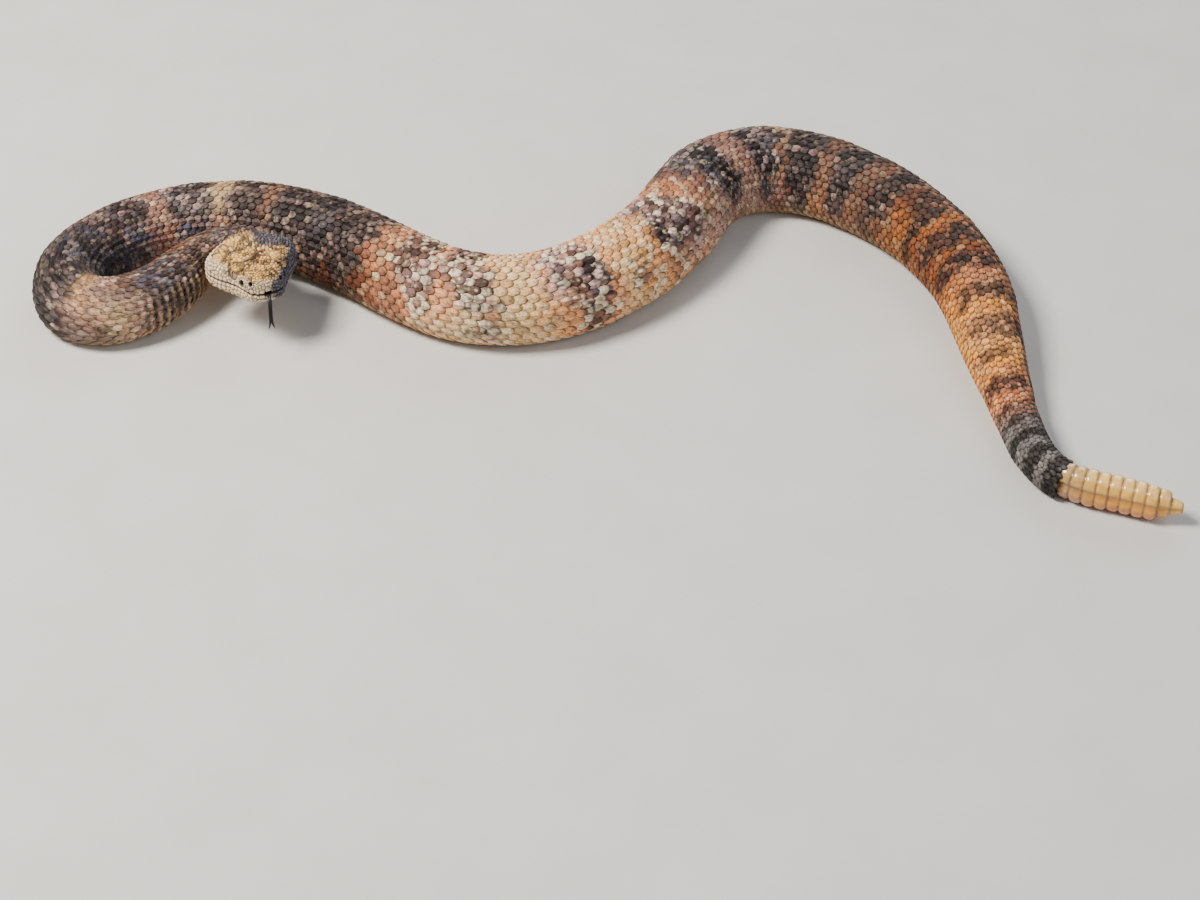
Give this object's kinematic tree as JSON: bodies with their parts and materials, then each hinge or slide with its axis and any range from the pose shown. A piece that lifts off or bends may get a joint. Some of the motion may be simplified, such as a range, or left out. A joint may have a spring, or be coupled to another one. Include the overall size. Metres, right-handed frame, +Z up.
{
  "type": "southwestern speckled rattlesnake model",
  "caption": "Life-size rattlesnake resting on the floor in loose curves, head raised with its forked tongue out, ending in a segmented amber rattle.",
  "frame": {"origin": "middle of the animal's footprint, at floor level", "axes": "+X along the longest extent, from the neck loop towards the rattle, +Y away from the viewer, +Z up"},
  "size_m": [0.384, 0.2019, 0.0302],
  "materials": {
    "head": "matt, finely scaled",
    "lower_jaw": "matt, finely scaled",
    "eye_left": "glossy, wet",
    "eye_right": "glossy, wet",
    "tongue": "satin black",
    "neck_1": "matt, finely scaled",
    "neck_2": "matt, finely scaled",
    "neck_3": "matt, finely scaled",
    "body_1": "matt, finely scaled",
    "body_2": "matt, finely scaled",
    "body_3": "matt, finely scaled",
    "body_4": "matt, finely scaled",
    "body_5": "matt, finely scaled",
    "body_6": "matt, finely scaled",
    "body_7": "matt, finely scaled",
    "body_8": "matt, finely scaled",
    "body_9": "matt, finely scaled",
    "body_10": "matt, finely scaled",
    "body_11": "matt, finely scaled",
    "tail": "matt, finely scaled",
    "rattle": "glossy amber horn"
  },
  "bodies": {
    "root": {"head": "head", "lower_jaw": "lower_jaw", "eye_left": "eye_left", "eye_right": "eye_right", "tongue": "tongue", "neck_1": "neck_1", "neck_2": "neck_2", "neck_3": "neck_3", "body_1": "body_1", "body_2": "body_2", "body_3": "body_3", "body_4": "body_4", "body_5": "body_5", "body_6": "body_6", "body_7": "body_7", "body_8": "body_8", "body_9": "body_9", "body_10": "body_10", "body_11": "body_11", "tail": "tail", "rattle": "rattle"}
  },
  "joints": []
}
